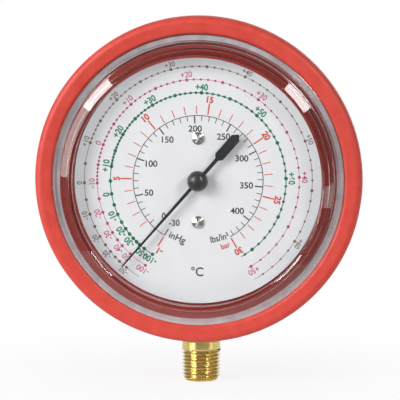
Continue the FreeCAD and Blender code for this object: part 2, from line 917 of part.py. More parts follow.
def make_spring_stud():
    """The stud on the front plate beside the hairspring's outer end."""
    end = spring_edge(spring_thick / 2)[-1][2]
    x = end.x + stud_r + spring_gap
    return rod(stud_r, front_plate_back, spring_front + spring_width, x, 0)


def make_link():
    """The link from the sector's tail to the tube's end, an eye at each end."""
    body = plate([tail_pin, lug_pin], link_half_width, link_front, link_back)
    eyes = [rod(link_eye_r, link_front, link_back, *spot) for spot in (tail_pin, lug_pin)]
    body = body.multiFuse(eyes).removeSplitter()
    near = rod(pin_r + pin_clear, link_front, link_back, *tail_pin)
    far = rod(pin_r + open_pin_clear, link_front, link_back, *lug_pin)
    return body.cut([near, far])


def make_link_screw():
    """The shouldered screw that the link turns on, set in the sector's tail."""
    head_front = link_back + pin_head_gap
    head = rod(pin_head_r, head_front, head_front + pin_head_h, *tail_pin)
    return head.fuse(rod(pin_r, sector_front, head_front, *tail_pin)).removeSplitter()


def make_pointer():
    """The flat pointer: a tapered needle, a round boss and a leaf-shaped tail."""
    def at(along, across):
        return FreeCAD.Vector(along, 0, across)

    start = boss_r / 2
    tip_root = needle_len - needle_tip_len
    needle = [
        at(start, -needle_half_width), at(tip_root, -needle_tip_half_width),
        at(needle_len, 0), at(tip_root, needle_tip_half_width), at(start, needle_half_width),
    ]
    shoulder = leaf_end - leaf_half_width
    tail = [
        at(-start, tail_neck_half_width), at(-leaf_start, tail_neck_half_width),
        at(-leaf_shoulder, leaf_half_width), at(-shoulder, leaf_half_width), at(-leaf_end, 0),
        at(-shoulder, -leaf_half_width), at(-leaf_shoulder, -leaf_half_width),
        at(-leaf_start, -tail_neck_half_width), at(-start, -tail_neck_half_width),
    ]
    outline = needle + tail
    blade = Part.Face(Part.makePolygon(outline + outline[:1]))
    blade = blade.extrude(FreeCAD.Vector(0, pointer_thick, 0))
    blade.rotate(FreeCAD.Vector(0, 0, 0), FreeCAD.Vector(0, -1, 0), pointer_angle)
    blade.translate(place(0, pointer_front, 0))
    boss = rod(boss_r, pointer_front, pointer_back)
    body = blade.fuse(boss).removeSplitter()
    return body.cut(rod(hub_neck_r, pointer_front, pointer_back))


def make_pointer_hub():
    """The black domed hub that is pressed on the arbor and holds the pointer."""
    front = pointer_front - hub_h
    arbor_end = pointer_front - hub_arbor_depth
    steps = [
        (hub_back_r, pointer_back + hub_back_h),
        (hub_back_r, pointer_back),
        (hub_neck_r, pointer_back),
        (hub_neck_r, pointer_front),
        (hub_r, pointer_front),
        (hub_r, pointer_front - hub_edge),
        dome(hub_r, pointer_front - hub_edge, front),
        (0, front),
        (0, arbor_end),
        (front_pivot_r, arbor_end),
    ]
    return turned((front_pivot_r, pointer_back + hub_back_h), steps)


makers = {
    "case": make_case,
    "case_screws": make_case_screws,
    "relief_plug": make_relief_plug,
    "stem_grommet": make_grommet,
    "socket": make_socket,
    "restrictor_screw": make_restrictor,
    "lens": make_lens,
    "lens_gasket": make_gasket,
    "dial": make_dial,
    "dial_screws": make_dial_screws,
    "dial_posts": make_dial_posts,
    "front_plate": make_front_plate,
    "back_plate": make_back_plate,
    "plate_pillars": make_pillars,
    "plate_screws": make_plate_screws,
    "movement_screws": make_movement_screws,
    "bourdon_tube": make_tube,
    "tube_end": make_tube_end,
    "tip_pin": make_tip_pin,
    "link": make_link,
    "link_screw": make_link_screw,
    "sector_gear": make_sector,
    "sector_bush": make_sector_bush,
    "sector_arbor": make_sector_arbor,
    "pinion": make_pinion,
    "pinion_arbor": make_pinion_arbor,
    "hairspring": make_hairspring,
    "hairspring_collet": make_collet,
    "hairspring_stud": make_spring_stud,
    "pointer": make_pointer,
    "pointer_hub": make_pointer_hub,
}

os.makedirs("parts", exist_ok=True)
for name, make in makers.items():
    shape = make()
    print(name, len(shape.Solids), round(shape.Volume, 3), shape.isValid())
    shape.exportStep("parts/" + name + ".step")
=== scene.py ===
import bpy
import math
from mathutils import Matrix, Vector


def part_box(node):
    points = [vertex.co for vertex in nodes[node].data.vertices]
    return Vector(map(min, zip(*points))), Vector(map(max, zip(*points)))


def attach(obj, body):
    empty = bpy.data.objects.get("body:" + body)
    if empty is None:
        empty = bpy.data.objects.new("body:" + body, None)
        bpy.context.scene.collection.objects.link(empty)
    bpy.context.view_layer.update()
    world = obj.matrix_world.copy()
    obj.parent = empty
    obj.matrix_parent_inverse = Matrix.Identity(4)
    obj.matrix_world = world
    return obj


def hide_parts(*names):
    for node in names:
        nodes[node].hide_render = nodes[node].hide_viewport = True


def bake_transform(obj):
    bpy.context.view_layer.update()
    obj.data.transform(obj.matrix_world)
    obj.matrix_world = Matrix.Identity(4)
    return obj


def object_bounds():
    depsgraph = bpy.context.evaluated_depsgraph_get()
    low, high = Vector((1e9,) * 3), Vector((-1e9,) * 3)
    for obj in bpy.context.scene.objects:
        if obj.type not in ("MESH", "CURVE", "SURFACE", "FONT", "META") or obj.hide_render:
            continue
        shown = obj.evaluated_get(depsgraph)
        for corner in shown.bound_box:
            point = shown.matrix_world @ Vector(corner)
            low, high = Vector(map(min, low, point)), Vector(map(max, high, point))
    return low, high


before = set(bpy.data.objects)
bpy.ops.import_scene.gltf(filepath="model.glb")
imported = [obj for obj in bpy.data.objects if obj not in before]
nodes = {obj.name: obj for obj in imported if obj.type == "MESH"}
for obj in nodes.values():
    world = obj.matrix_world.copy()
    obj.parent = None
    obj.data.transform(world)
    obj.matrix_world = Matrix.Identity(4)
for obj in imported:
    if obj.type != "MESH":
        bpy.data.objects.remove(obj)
cad_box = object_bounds()

# Lengths are in metres. Angles round the dial are degrees anticlockwise from +X, from the front.
MM = 0.001
PSI_PER_BAR = 14.504
ATMOSPHERE = 1.013  # bar
FREEZING = 273.15  # kelvin
dial_low, dial_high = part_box("dial")
dial_centre = Vector((0, dial_low.y, (dial_low.z + dial_high.z) / 2))
facing = (math.pi / 2, 0, 0)
screw_offset = 11.1  # millimetres from the dial's centre to each of its screws


# Shapes

def select_none():
    bpy.ops.object.select_all(action="DESELECT")


def select_only(piece):
    select_none()
    piece.select_set(True)
    bpy.context.view_layer.objects.active = piece


def edit(piece):
    """Opens the piece for editing with everything selected; done() closes it."""
    select_only(piece)
    bpy.ops.object.mode_set(mode="EDIT")
    bpy.ops.mesh.select_all(action="SELECT")


def done():
    bpy.ops.object.mode_set(mode="OBJECT")


def pick(piece, test):
    """Selects the vertices whose place passes the test, and stays in edit mode."""
    bpy.ops.object.mode_set(mode="EDIT")
    bpy.ops.mesh.select_mode(type="VERT")
    bpy.ops.mesh.select_all(action="DESELECT")
    bpy.ops.object.mode_set(mode="OBJECT")
    for vertex in piece.data.vertices:
        vertex.select = test(vertex.co)
    bpy.ops.object.mode_set(mode="EDIT")
    bpy.ops.mesh.select_mode(type="VERT")


def modify(piece, kind, **settings):
    select_only(piece)
    bpy.ops.object.modifier_add(type=kind)
    modifier = piece.modifiers[-1]
    for name, value in settings.items():
        setattr(modifier, name, value)
    bpy.ops.object.modifier_apply(modifier=modifier.name)


def face_outward():
    bpy.ops.mesh.select_all(action="SELECT")
    bpy.ops.mesh.normals_make_consistent(inside=False)


def turn_round_y(angle, centre=(0, 0, 0)):
    """Turns what is selected about a line through the centre, parallel to Y."""
    bpy.ops.transform.rotate(value=angle, orient_axis="Y", center_override=centre)


def extrude(step):
    bpy.ops.mesh.extrude_region_move(TRANSFORM_OT_translate={"value": step})


def smooth(piece, degrees):
    """Smooth shading, with an edge kept sharp where its faces meet at more than the angle."""
    select_only(piece)
    bpy.ops.object.shade_smooth_by_angle(angle=math.radians(degrees))


def cover(piece, finish):
    piece.data.materials.clear()
    piece.data.materials.append(finish)


def copy_of(node, name):
    """A merged copy of a solid's mesh, to be worked on as a piece of its own."""
    piece = bpy.data.objects.new(name, nodes[node].data.copy())
    bpy.context.scene.collection.objects.link(piece)
    edit(piece)
    bpy.ops.mesh.customdata_custom_splitnormals_clear()
    bpy.ops.mesh.remove_doubles(threshold=0.002 * MM)
    done()
    return piece


# Dial print

def scale_angle(bar):
    """Where a gauge pressure in bar stands on the dial; the marks close up a little at the end."""
    at_zero, per_bar, closing = 228.8, -10.0, 0.0122
    return at_zero + per_bar * bar + closing * bar * bar


def saturation(celsius, at_zero, heat):
    """Gauge pressure in bar at which a refrigerant boils.

    at_zero is its absolute pressure at 0 degrees; heat, in kelvin, sets how fast it rises.
    """
    return at_zero * math.exp(heat * (1 / FREEZING - 1 / (FREEZING + celsius))) - ATMOSPHERE


scale_start = scale_angle(-1)
scale_end = scale_angle(30)


def start_print(name, radius, width, first, last):
    """A printed line round part of the dial; marks are added to it while it stays in edit mode."""
    degrees_per_step = 1.5
    select_none()
    bpy.ops.mesh.primitive_plane_add(size=width, location=(radius, 0, 0), rotation=facing)
    sheet = bpy.context.object
    sheet.name = name
    bpy.ops.object.transform_apply()
    pick(sheet, lambda place: place.z > 0)
    bpy.ops.mesh.delete(type="VERT")
    bpy.ops.mesh.select_all(action="SELECT")
    bpy.ops.transform.resize(value=(1, 1, 0))
    turn_round_y(math.radians(first))
    steps = max(2, round(abs(last - first) / degrees_per_step))
    bpy.ops.mesh.spin(
        steps=steps, angle=math.radians(last - first), center=(0, 0, 0), axis=(0, 1, 0)
    )
    face_outward()
    done()
    backward = sum(face.normal.y for face in sheet.data.polygons) > 0
    bpy.ops.object.mode_set(mode="EDIT")
    if backward:
        bpy.ops.mesh.flip_normals()
    return sheet


def print_tick(angle, inner, outer, width):
    bpy.ops.mesh.primitive_plane_add(size=1, rotation=facing)
    bpy.ops.transform.resize(value=(outer - inner, 1, width))
    bpy.ops.transform.translate(value=((inner + outer) / 2, 0, 0))
    turn_round_y(math.radians(angle))


def print_dot(angle, radius, size):
    turn = math.radians(angle)
    place = (radius * math.cos(turn), 0, radius * math.sin(turn))
    bpy.ops.mesh.primitive_circle_add(
        vertices=14, radius=size / 2, fill_type="NGON", location=place, rotation=facing
    )


def lettering(text, height, heavy, narrow, angle, radius, turn):
    """Characters of a cap height, their middle at a place on the dial, turned by an angle.

    Without a turn they stand upright, and their outer corner comes to the radius.
    """
    cap_share = 0.7  # a capital's height over the size of the type
    bpy.ops.object.text_add(rotation=facing)
    word = bpy.context.object
    word.data.body = text
    word.data.size = height / cap_share
    word.data.offset = heavy
    bpy.ops.object.convert(target="MESH")
    bpy.ops.object.transform_apply()
    word.scale = (narrow, 1, 1)
    corners = [Vector(corner) for corner in word.bound_box]
    low, high = corners[0].x, corners[6].x
    word.location = (-(low + high) / 2 * narrow, 0, -height / 2)
    bpy.ops.object.transform_apply()
    away = math.radians(angle)
    reach = radius
    if turn is None:
        half_wide = (high - low) / 2 * narrow
        reach -= math.hypot(half_wide * math.cos(away), height / 2 * math.sin(away))
        turn = 0
    word.rotation_euler = (0, -math.radians(turn), 0)
    word.location = (reach * math.cos(away), 0, reach * math.sin(away))
    bpy.ops.object.transform_apply()
    return word


def finish_print(sheet, words, finish):
    """Joins a print's characters to its lines, lays it on the dial and gives the ink thickness."""
    select_only(sheet)
    for word in words:
        word.select_set(True)
    bpy.ops.object.join()
    sheet.location = dial_centre
    bpy.ops.object.transform_apply()
    modify(sheet, "SOLIDIFY", thickness=0.02 * MM, offset=1)
    edit(sheet)
    face_outward()
    done()
    cover(sheet, finish)
    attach(sheet, "housing")


def pressure_scales():
    """The inner circle in pounds per square inch, its units, and the ticks in bar outside it."""
    circle = 17.1 * MM
    sheet = start_print("psi_scale", circle, 0.2 * MM, scale_start, scale_end)
    for psi in range(0, 431, 10):
        main = psi % 50 == 0
        inner = circle - (2.1 if main else 1.4) * MM
        print_tick(scale_angle(psi / PSI_PER_BAR), inner, circle, (0.34 if main else 0.2) * MM)
    print_tick(scale_start, circle - 2.0 * MM, circle, 0.3 * MM)
    done()
    words = []
    for psi in range(50, 401, 50):
        angle = scale_angle(psi / PSI_PER_BAR)
        words.append(lettering(str(psi), 1.6 * MM, 0.05 * MM, 1.04, angle, 14.5 * MM, None))
    words.append(lettering("0", 1.6 * MM, 0.05 * MM, 0.95, 226.2, 13.1 * MM, 0))
    words.append(lettering("-30", 1.6 * MM, 0.04 * MM, 0.95, 241.0, 12.9 * MM, 0))
    words.append(lettering("inHg", 1.75 * MM, 0.045 * MM, 0.98, 250.4, 16.1 * MM, -23))
    words.append(lettering("lbs/in²", 1.7 * MM, 0.045 * MM, 0.86, 290.4, 16.1 * MM, 15))
    words.append(lettering("°C", 2.3 * MM, 0.05 * MM, 0.95, 269.5, 24.2 * MM, 0))
    finish_print(sheet, words, black_ink)

    inner = 17.5 * MM
    unseen = 0.001 * MM  # the bar scale has ticks alone, so its line is too thin to show
    sheet = start_print("bar_scale", inner + 1.4 * MM, unseen, scale_end, scale_end + 0.1)
    for bar in range(-1, 31):
        main = bar % 5 == 0 or bar == -1
        outer = (20.5 if main else 19.7) * MM
        print_tick(scale_angle(bar), inner, outer, (0.36 if main else 0.22) * MM)
    done()
    words = []
    aside = 3  # degrees by which the first number stands off the end of the scale
    for bar in [-1] + list(range(5, 31, 5)):
        angle = scale_angle(bar) + (aside if bar < 0 else 0)
        words.append(
            lettering(str(bar), 1.6 * MM, 0.09 * MM, 0.95, angle, 21.5 * MM, angle - 90)
        )
    words.append(lettering("bar", 1.5 * MM, 0.04 * MM, 0.9, 292.7, 18.6 * MM, 20))
    finish_print(sheet, words, red_ink)


def temperature_scale(
    name, finish, circle, line, at_zero, heat, labels, span, ones_from, dots, letters
):
    """A circle of saturation temperatures: dots on a thin line, and numbers outside it.

    There is a dot for every degree from ones_from up, for every five below it, and for
    every ten below -35. dots gives their two sizes, letters the numbers' height, boldness
    and radius.
    """
    def angle_of(celsius):
        return scale_angle(saturation(celsius, at_zero, heat))

    sheet = start_print(name, circle, line, scale_start, scale_end)
    small, large = dots
    low, high = span
    for celsius in range(low, high + 1):
        five = celsius % 5 == 0
        sparse = celsius < -35 and celsius % 10 != 0
        if sparse or (celsius < ones_from and not five):
            continue
        print_dot(angle_of(celsius), circle, large if five else small)
    if -100 in labels:
        print_dot(angle_of(-100), circle, large)
    done()
    height, heavy, out = letters
    words = []
    for celsius in labels:
        text = ("+" if celsius > 0 else "") + str(celsius)
        angle = angle_of(celsius)
        words.append(lettering(text, height, heavy, 0.92, angle, out, angle - 90))
    finish_print(sheet, words, finish)


def temperature_scales():
    """Three circles, each for one kind of refrigerant."""
    tens = list(range(-30, 51, 10))
    temperature_scale(
        "green_scale", green_ink, 23.1 * MM, 0.24 * MM, 4.98, 2410,
        [-100, -50] + tens + [60], (-50, 71), 10, (0.74 * MM, 1.02 * MM),
        (1.6 * MM, 0.075 * MM, 24.6 * MM),
    )
    temperature_scale(
        "pink_scale", pink_ink, 26.6 * MM, 0.13 * MM, 7.98, 2385,
        [-100, -50, -40] + tens, (-50, 50), -10, (0.62 * MM, 0.86 * MM),
        (1.5 * MM, 0.025 * MM, 28.0 * MM),
    )
    temperature_scale(
        "brown_scale", brown_ink, 30.0 * MM, 0.13 * MM, 5.75, 2400,
        [-50] + tens + [60], (-50, 64), 10, (0.58 * MM, 0.82 * MM),
        (1.35 * MM, 0.025 * MM, 31.3 * MM),
    )


# Stem

def threaded_socket():
    """The brass socket with its tapered pipe thread cut into the stem."""
    socket = copy_of("socket", "threaded_socket")
    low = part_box("socket")[0].z
    neck = 4.3 * MM
    mouth_share = 4.94 / 5.14  # the stem's radius at its mouth over that at its neck
    near = 0.01 * MM
    edit(socket)
    bpy.ops.mesh.bisect(plane_co=(0, 0, neck), plane_no=(0, 0, 1))
    bpy.ops.mesh.select_all(action="SELECT")
    bpy.ops.mesh.bisect(plane_co=(0, 0, neck + 0.45 * MM), plane_no=(0, 0, 1))
    pick(socket, lambda place: place.z < neck - MM and place.xy.length > 4.5 * MM)
    bpy.ops.transform.resize(value=(mouth_share, mouth_share, 1), center_override=(0, 0, 0))
    done()

    pitch = 0.9407 * MM
    turns = 10
    root = 4.28 * MM
    corner = 0.527 * MM
    start = low - 1.2 * pitch
    select_none()
    bpy.ops.mesh.primitive_circle_add(
        vertices=3, radius=corner, rotation=facing, location=(root + corner, 0, start)
    )
    cutter = bpy.context.object
    bpy.ops.object.transform_apply()
    edit(cutter)
    turn_round_y(math.pi / 2, (root + corner, 0, start))
    bpy.ops.mesh.subdivide(number_cuts=1)
    done()
    modify(
        cutter, "SCREW", angle=2 * math.pi, screw_offset=pitch, iterations=turns,
        steps=56, render_steps=56, use_normal_calculate=True,
    )
    end = start + turns * pitch
    pick(cutter, lambda place: place.z < start + 0.49 * pitch and abs(place.y) < near)
    bpy.ops.mesh.edge_face_add()
    pick(cutter, lambda place: place.z > end - 0.49 * pitch and abs(place.y) < near)
    bpy.ops.mesh.edge_face_add()
    face_outward()
    done()
    mean_r = 5.0 * MM
    taper = cutter.dimensions.z / 32 / mean_r  # 1 in 16 on the diameter
    modify(cutter, "SIMPLE_DEFORM", deform_method="TAPER", deform_axis="Z", factor=taper)
    modify(socket, "BOOLEAN", operation="DIFFERENCE", object=cutter, solver="EXACT")
    bpy.data.objects.remove(cutter)
    smooth(socket, 35)
    thread_top, stem_point = neck + 0.4 * MM, low + 0.9 * MM
    pick(socket, lambda place: stem_point < place.z < thread_top and place.xy.length > 4 * MM)
    bpy.ops.mesh.mark_sharp(clear=True)
    done()
    cover(socket, stem_brass)
    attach(socket, "housing")
    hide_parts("socket")


# Bourdon tube

def bending_tube():
    """The hollow tube, copied with smooth shading and its place baked into its mesh; in the gauge
    it bends along its arc, its foot staying put and its free end moving.
    """
    tube = copy_of("bourdon_tube", "bending_tube")
    smooth(tube, 35)
    cover(tube, tube_bronze)
    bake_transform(tube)
    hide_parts("bourdon_tube")


# Lens

def softened(corners, width):
    """The same outline with each inner corner chamfered, and held by lines beside the cut."""
    cut, hold, longest = 0.6, 2.4, 0.4  # widths from the corner, and the share of a short side
    outline = [corners[0]]
    for before, corner, after in zip(corners, corners[1:], corners[2:]):
        for other, shares in ((before, (hold, cut)), (after, (cut, hold))):
            length = math.hypot(other[0] - corner[0], other[1] - corner[1])
            for share in shares:
                part = min(share * width, longest * length) / length
                outline.append(tuple(c + (o - c) * part for c, o in zip(corner, other)))
    outline.append(corners[-1])
    return outline


def turned(name, corners, finish):
    """A ring or dish spun about the dial's axis from corners of radius and y, in millimetres."""
    steps = 240
    select_none()
    bpy.ops.mesh.primitive_plane_add(size=0.2 * MM)
    piece = bpy.context.object
    piece.name = name
    edit(piece)
    bpy.ops.mesh.merge(type="CENTER")
    radius, y = corners[0]
    bpy.ops.transform.translate(value=(radius * MM, y * MM, dial_centre.z))
    for after in corners[1:]:
        extrude(((after[0] - radius) * MM, (after[1] - y) * MM, 0))
        radius, y = after
    bpy.ops.mesh.select_all(action="SELECT")
    bpy.ops.mesh.spin(
        steps=steps, angle=2 * math.pi, center=(0, 0, dial_centre.z), axis=(0, 1, 0)
    )
    bpy.ops.mesh.select_all(action="SELECT")
    bpy.ops.mesh.remove_doubles(threshold=0.004 * MM)
    bpy.ops.mesh.normals_make_consistent(inside=False)
    done()
    piece.data.materials.append(finish)
    return piece


def moulded_lens():
    """The clear lens: sunk window, bevel, shoulder and flange, with small rounds at its edges.

    The inner wall of its skirt and its foot, on the gasket, pass less light than the rest.
    """
    corners = [
        (0, -18.15), (32.85, -18.15), (33.45, -18.5),  # window, and the slope round it
        (35.9, -17.05), (36.0, -16.85), (36.0, -13.9),  # bevel and wall
        (36.9, -13.9), (37.05, -13.75), (37.6, -13.75), (38.3, -13.1),  # shoulder
        (38.3, -10.93), (36.6, -10.93), (33.3, -10.93),  # flange and foot
        (32.9, -16.3), (0, -16.3),  # inner wall, and the window's underside
    ]
    lens = turned("moulded_lens", softened(corners, 0.09), lens_plastic)
    lens.data.materials.append(skirt_plastic)
    lens.data.materials.append(back_plastic)
    inner_wall, foot = (-16.1 * MM, 33.35 * MM), (-11.0 * MM, 36.65 * MM)
    for slot, (foremost, outermost) in enumerate((inner_wall, foot), 1):
        pick(
            lens,
            lambda place: place.y > foremost and (place - dial_centre).xz.length < outermost,
        )
        lens.active_material_index = slot
        bpy.ops.object.material_slot_assign()
        done()
    smooth(lens, 60)
    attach(lens, "housing")
    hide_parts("lens")


# Dial screws

def dial_screw(z):
    """A nickel-plated screw with a low cone on its head; sawn_slot cuts the slot across it."""
    head_r, shank_r, shank_len = 1.68 * MM, 0.8 * MM, 3.0 * MM
    rim_height, cone_height, tip_share = 0.3 * MM, 0.66 * MM, 0.03
    select_none()
    bpy.ops.mesh.primitive_circle_add(
        vertices=80, radius=shank_r, fill_type="NGON", rotation=facing,
        location=(0, dial_low.y + shank_len, z),
    )
    screw = bpy.context.object
    bpy.ops.object.transform_apply()
    edit(screw)
    head = (0, head_r / shank_r), (rim_height, 1), (cone_height, tip_share)
    for forward, wider in ((shank_len, 1), *head):
        extrude((0, -forward, 0))
        bpy.ops.transform.resize(value=(wider, 1, wider), center_override=(0, 0, z))
    face_outward()
    done()
    modify(screw, "BEVEL", width=0.07 * MM, segments=3, limit_method="ANGLE", angle_limit=0.6)
    return screw


def sawn_slot(screw, z):
    """Cuts a leaning slot across the head; its walls and floor are sawn steel coloured near white
    and barely metallic, a painted highlight for the light the slot catches.
    """
    length, depth, width = 4 * MM, 1.1 * MM, 0.42 * MM
    above_dial, lean = 1.05 * MM, math.radians(60)
    select_none()
    bpy.ops.mesh.primitive_cube_add(size=1, location=(0, dial_low.y - above_dial, z))
    blade = bpy.context.object
    blade.scale = (length, depth, width)
    bpy.ops.object.transform_apply()
    edit(blade)
    turn_round_y(lean, (0, 0, z))
    done()
    # The slot's walls and floor take the near-white finish, a painted highlight.
    blade.data.materials.append(sawn_steel_painted_highlight)
    modify(
        screw, "BOOLEAN", operation="DIFFERENCE", object=blade, solver="EXACT",
        material_mode="TRANSFER",
    )
    bpy.data.objects.remove(blade)


def dial_screws():
    """Both screws of the dial as one piece, in place of the plain ones."""
    screws = []
    for side in (-1, 1):
        z = dial_centre.z + side * screw_offset * MM
        screw = dial_screw(z)
        screw.data.materials.append(turned_steel)
        sawn_slot(screw, z)
        screws.append(screw)
    select_only(screws[0])
    screws[1].select_set(True)
    bpy.ops.object.join()
    pair = screws[0]
    pair.name = "slotted_dial_screws"
    smooth(pair, 30)
    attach(pair, "housing")
    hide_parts("dial_screws")


# Finishes

def linear(code):
    """A colour written as six hexadecimal digits, in the linear values that a shader takes."""
    parts = [int(code[i:i + 2], 16) / 255 for i in (0, 2, 4)]
    return tuple(c / 12.92 if c <= 0.04045 else ((c + 0.055) / 1.055) ** 2.4 for c in parts) + (1,)


def new_finish(name, **sockets):
    """A material with its surface shader, whose plain values are set on the shader itself."""
    finish = bpy.data.materials.new(name)
    finish.use_nodes = True
    shader = finish.node_tree.nodes["Principled BSDF"]
    for socket, value in sockets.items():
        shader.inputs[socket.replace("_", " ")].default_value = value
    return finish, finish.node_tree, shader


def grain(tree, scale, detail=3.0, stretch=(1, 1, 1)):
    """Noise in the piece's own coordinates; scale is in cycles per metre."""
    place = tree.nodes.new("ShaderNodeTexCoord")
    turn = tree.nodes.new("ShaderNodeMapping")
    turn.inputs["Scale"].default_value = stretch
    noise = tree.nodes.new("ShaderNodeTexNoise")
    noise.inputs["Scale"].default_value = scale
    noise.inputs["Detail"].default_value = detail
    tree.links.new(place.outputs["Object"], turn.inputs["Vector"])
    tree.links.new(turn.outputs["Vector"], noise.inputs["Vector"])
    return noise.outputs["Fac"]


def calculated(tree, operation, *terms):
    """The result of a sum in the material; a term is a number or what another node gives."""
    node = tree.nodes.new("ShaderNodeMath")
    node.operation = operation
    for socket, term in zip(node.inputs, terms):
        if isinstance(term, float):
            socket.default_value = term
        else:
            tree.links.new(term, socket)
    return node.outputs["Value"]


def from_range_to(tree, value, before, after, course="LINEAR"):
    """A value carried from one range, such as 0 to 1, over to another."""
    span = tree.nodes.new("ShaderNodeMapRange")
    span.interpolation_type = course
    for name, end in zip(("From Min", "From Max", "To Min", "To Max"), before + after):
        span.inputs[name].default_value = end
    tree.links.new(value, span.inputs["Value"])
    return span.outputs["Result"]


def shaded(tree, value, low, first, high, second, course="LINEAR"):
    """A colour that goes from the first at a low value to the second at a high one."""
    node = tree.nodes.new("ShaderNodeValToRGB")
    node.color_ramp.interpolation = course
    for element, place, colour in zip(node.color_ramp.elements, (low, high), (first, second)):
        element.position = place
        element.color = colour
    tree.links.new(value, node.inputs["Fac"])
    return node.outputs["Color"]


def mixed(tree, factor, first, second):
    """The first surface or light where the factor is 0, the second where it is 1."""
    mix = tree.nodes.new("ShaderNodeMixShader")
    tree.links.new(factor, mix.inputs["Fac"])
    tree.links.new(first, mix.inputs[1])
    tree.links.new(second, mix.inputs[2])
    return mix.outputs["Shader"]


def vary_colour(tree, shader, factor, first, second):
    colour = shaded(tree, factor, 0.35, linear(first), 0.65, linear(second))
    tree.links.new(colour, shader.inputs["Base Color"])


def vary_roughness(tree, shader, factor, low, high):
    rough = from_range_to(tree, factor, (0.3, 0.7), (low, high))
    tree.links.new(rough, shader.inputs["Roughness"])


def raise_grain(tree, shader, factor, strength, height):
    bump = tree.nodes.new("ShaderNodeBump")
    bump.inputs["Strength"].default_value = strength
    bump.inputs["Distance"].default_value = height
    tree.links.new(factor, bump.inputs["Height"])
    tree.links.new(bump.outputs["Normal"], shader.inputs["Normal"])


def surface(name, first, second, rough, scale, bump, **sockets):
    """A finish with mottled colour, uneven roughness and fine grain."""
    mottling, wear, height = 0.12, 0.4, 0.02 * MM  # the first two are shares of the grain's scale
    finish, tree, shader = new_finish(name, **sockets)
    vary_colour(tree, shader, grain(tree, scale * mottling, 4.0), first, second)
    vary_roughness(tree, shader, grain(tree, scale * wear), *rough)
    raise_grain(tree, shader, grain(tree, scale, 2.0), bump, height)
    return finish


def ink(name, first, second):
    return surface(name, first, second, (0.4, 0.55), 2500, 0.1)


def piece_place(tree):
    """X, Y and Z of a point of the piece, as three outputs."""
    place = tree.nodes.new("ShaderNodeTexCoord")
    parts = tree.nodes.new("ShaderNodeSeparateXYZ")
    tree.links.new(place.outputs["Object"], parts.inputs["Vector"])
    return parts.outputs


def lathe_marks(tree, shader, along, strength, height):
    """Fine grooves, one after another along the path of the turning tool."""
    feed = 0.11 * MM
    grooves = calculated(tree, "SINE", calculated(tree, "MULTIPLY", along, 2 * math.pi / feed))
    raise_grain(tree, shader, grooves, strength, height)


def turned_metal(name, first, second, rough, stretch):
    """A metal with uneven colour and polish, before the lathe's grooves are added."""
    finish, tree, shader = new_finish(name, Metallic=1.0)
    vary_colour(tree, shader, grain(tree, 900, 3.0, stretch), first, second)
    vary_roughness(tree, shader, grain(tree, 1500), *rough)
    return finish, tree, shader


def turned_face(name, first, second, rough, centres_up):
    """A turned metal face, with grooves round the middle of each of the dial's screws."""
    finish, tree, shader = turned_metal(name, first, second, rough, (1, 1, 1))
    place = piece_place(tree)
    height = calculated(tree, "SUBTRACT", place["Z"], float(dial_centre.z))
    above = calculated(tree, "SUBTRACT", calculated(tree, "ABSOLUTE", height), centres_up)
    square = calculated(tree, "MULTIPLY", above, above)
    across = calculated(tree, "MULTIPLY", place["X"], place["X"])
    away = calculated(tree, "SQRT", calculated(tree, "ADD", square, across))
    lathe_marks(tree, shader, away, 0.3, 0.004 * MM)
    return finish


def turned_bar(name, first, second, rough):
    """A metal that was turned about an upright axis, with fine grooves round it."""
    finish, tree, shader = turned_metal(name, first, second, rough, (1, 1, 4))
    lathe_marks(tree, shader, piece_place(tree)["Z"], 1.0, 0.002 * MM)
    return finish


def clear_plastic(name, rough, passed):
    """Clear moulded plastic: it bends what is seen, and passes a share of the lamps' light."""
    finish, tree, shader = new_finish(
        name, Base_Color=(0.985, 0.99, 0.99, 1), Transmission_Weight=1.0, IOR=1.49,
        Roughness=rough,
    )
    raise_grain(tree, shader, grain(tree, 60, 1.0), 0.04, 0.1 * MM)
    path = tree.nodes.new("ShaderNodeLightPath")
    lighting = calculated(
        tree, "MAXIMUM", path.outputs["Is Shadow Ray"], path.outputs["Is Diffuse Ray"]
    )
    clear = tree.nodes.new("ShaderNodeBsdfTransparent")
    clear.inputs["Color"].default_value = (passed, passed, passed, 1)
    mix = mixed(tree, lighting, shader.outputs["BSDF"], clear.outputs["BSDF"])
    tree.links.new(mix, tree.nodes["Material Output"].inputs["Surface"])
    return finish


case_red = surface("case_red", "d8473a", "cf3f33", (0.42, 0.58), 2600, 0.25)
dial_enamel = surface("dial_enamel", "ebebee", "e7e7ea", (0.3, 0.42), 1500, 0.05)
pale_rubber = surface("pale_rubber", "c4bbbf", "aca3a7", (0.5, 0.7), 2200, 0.2)
black_rubber = surface("black_rubber", "1c1b1b", "262424", (0.65, 0.85), 2200, 0.35)
polished_steel = surface(
    "polished_steel", "cfccc8", "bdb9b4", (0.08, 0.2), 3000, 0.05, Metallic=1.0
)
zinc_steel = surface("zinc_steel", "b9b8ae", "9d9c94", (0.25, 0.4), 2400, 0.2, Metallic=1.0)
turned_steel = turned_face("turned_steel", "d9d7d4", "c9c6c2", (0.1, 0.18), screw_offset * MM)
